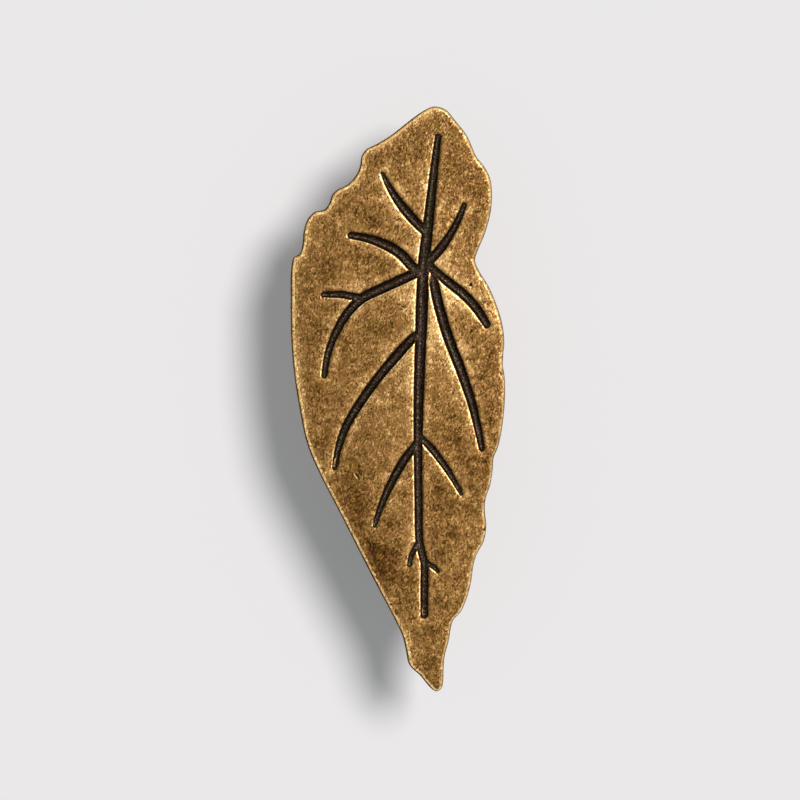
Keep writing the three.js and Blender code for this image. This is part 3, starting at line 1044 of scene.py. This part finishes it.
# %% The wall
wall_size = 6.0
wall_gap = 0.05 * mm
pale_grey = (0.815, 0.799, 0.807, 1)
bpy.ops.object.select_all(action="DESELECT")
bpy.ops.mesh.primitive_plane_add(size=wall_size, location=(0, wall_gap, 0),
                                 rotation=(math.pi / 2, 0, 0))
wall = bpy.context.object
wall.name = "wall"
bpy.ops.object.transform_apply(location=True, rotation=True, scale=True)
paint, tree, shader = new_material("wall_paint")
fill(tree, shader, {"Base Color": pale_grey, "Roughness": 0.9, "Specular IOR Level": 0.0})
from_behind = add(tree, "ShaderNodeNewGeometry").outputs["Backfacing"]
light_path = add(tree, "ShaderNodeLightPath").outputs
see_through = maths(tree, "MAXIMUM", from_behind, light_path["Is Shadow Ray"])
clear = add(tree, "ShaderNodeBsdfTransparent").outputs[0]
mixed = add(tree, "ShaderNodeMixShader", {0: see_through, 1: shader.outputs[0], 2: clear})
tree.links.new(mixed.outputs[0], tree.nodes["Material Output"].inputs["Surface"])
wall.data.materials.append(paint)
print("wall faces", tuple(round(v, 2) for v in wall.data.polygons[0].normal))

# %% [markdown]
# ## Light
# The photo shows one soft shadow down and to the left, so a large lamp stands up and to the
# right of the camera. A sun with a wide angle gives that shadow the same softness at every
# size of object. The shadow is evenly grey right up to the leaf, as it is when a weak lamp at
# the camera fills it, so the fill lamp casts no shadow of its own and the metal doesn't mirror
# it. It is a little cooler than the key, which keeps the shadow neutral beside warm brass. A
# rear lamp lights the back for anyone who looks there. All the light on the front adds up to
# about one, so a colour renders as it is written. Cameras and mirrors see the world as pale as
# the wall.

# %% Key, rear and fill lamps
def add_sun(name, towards, strength, spread, colour=(1, 1, 1)):
    aim = Vector(towards).to_track_quat("Z", "Y").to_euler()
    bpy.ops.object.light_add(type="SUN", rotation=aim)
    lamp = bpy.context.object
    lamp.name = name
    lamp.data.energy = strength
    lamp.data.angle = math.radians(spread)
    lamp.data.color = colour
    print(f"{name}: strength {strength}, {spread} degrees wide")
    return lamp


add_sun("key_lamp", towards=(0.46, -1, 0.29), strength=2.4, spread=22, colour=(1, 0.97, 0.962))
add_sun("rear_lamp", towards=(-0.03, 1, 0.04), strength=1.1, spread=5)
fill_lamp = add_sun("fill_lamp", towards=(0, -1, 0), strength=0.71, spread=5,
                    colour=(0.89, 0.985, 1))
fill_lamp.data.use_shadow = False
fill_lamp.visible_glossy = False

# %% The world
world = bpy.data.worlds.new("studio")
bpy.context.scene.world = world
world.use_nodes = True
tree = world.node_tree
light_path = add(tree, "ShaderNodeLightPath").outputs
seen = maths(tree, "MAXIMUM", light_path["Is Camera Ray"], light_path["Is Glossy Ray"])
seen = maths(tree, "MAXIMUM", seen, light_path["Is Transmission Ray"])
ambient, pale = 0.14, 0.807
fill(tree, tree.nodes["Background"], {
    "Color": (1, 1, 1, 1), "Strength": between(tree, seen, low=ambient, high=pale)})
bpy.context.scene.view_settings.view_transform = "Standard"
print("ambient light", ambient, "and pale background", pale)

# %% [markdown]
# ## Camera
# The photo looks straight at the leaf. At the leaf's rim the frame is as wide as 800 pixels of
# the photo, and its middle is a little left of the screws and below them.

# %% Camera
photo_width = 800
leaf_in_photo = 586.5
pixel = leaf_length / leaf_in_photo
camera_distance = 1.2
sensor_width = 36
frame_width = photo_width * pixel
middle_x = -8 * pixel
middle_z = -25 * pixel
bpy.ops.object.camera_add(location=(middle_x, face_y - camera_distance, middle_z),
                          rotation=(math.pi / 2, 0, 0))
camera = bpy.context.object
camera.data.sensor_width = sensor_width
camera.data.lens = sensor_width * camera_distance / frame_width
bpy.context.scene.camera = camera
print(f"frame {frame_width / mm:.1f} mm wide, lens {camera.data.lens:.1f} mm")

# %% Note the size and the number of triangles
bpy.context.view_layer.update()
describe(blank)
